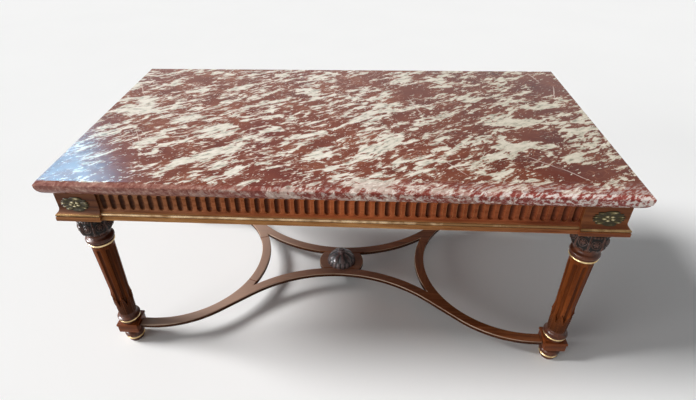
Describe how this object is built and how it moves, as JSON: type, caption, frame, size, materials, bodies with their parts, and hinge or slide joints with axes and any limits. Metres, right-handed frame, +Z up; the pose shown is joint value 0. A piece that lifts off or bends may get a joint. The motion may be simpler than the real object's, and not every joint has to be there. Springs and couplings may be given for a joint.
{
  "type": "center table",
  "caption": "Low long table with a loose marble slab on a fluted apron, turned fluted legs with brass rings, and a flat curved stretcher with a carved finial.",
  "frame": {"origin": "on the floor, under the middle of the marble slab", "axes": "+X along the table's length, +Y towards the far long side, +Z up"},
  "size_m": [1.132, 0.608, 0.5],
  "materials": {
    "marble": "polished red and cream marble",
    "mahogany": "polished red-brown mahogany",
    "dark_mahogany": "carved and darkened",
    "secondary_wood": "plain planed wood",
    "brass": "polished brass",
    "bronze": "dark patinated bronze"
  },
  "bodies": {
    "frame": {"block_bead_front_left": "brass", "block_bead_front_right": "brass", "block_bead_rear_left": "brass", "block_bead_rear_right": "brass", "bun_feet": "mahogany", "corner_block_front_left": "mahogany", "corner_block_front_right": "mahogany", "corner_block_rear_left": "mahogany", "corner_block_rear_right": "mahogany", "cross_bearer_left": "secondary_wood", "cross_bearer_right": "secondary_wood", "end_rosettes": "bronze", "face_rosettes": "bronze", "finial": "dark_mahogany", "foot_rings": "brass", "front_bead": "brass", "front_rail": "mahogany", "front_stretcher": "mahogany", "left_bead": "brass", "left_end_stretcher": "mahogany", "left_rail": "mahogany", "legs": "mahogany", "lower_rings": "brass", "plinth_front_left": "mahogany", "plinth_front_right": "mahogany", "plinth_rear_left": "mahogany", "plinth_rear_right": "mahogany", "rear_bead": "brass", "rear_rail": "mahogany", "rear_stretcher": "mahogany", "right_bead": "brass", "right_end_stretcher": "mahogany", "right_rail": "mahogany", "stretcher_hub": "mahogany", "upper_rings": "brass"},
    "marble_top": {"marble_top": "marble"}
  },
  "joints": [
    {"name": "marble_lift", "type": "slide", "parent": "frame", "child": "marble_top", "axis": [0, 0, 1], "range_m": [0, 0.12]}
  ]
}
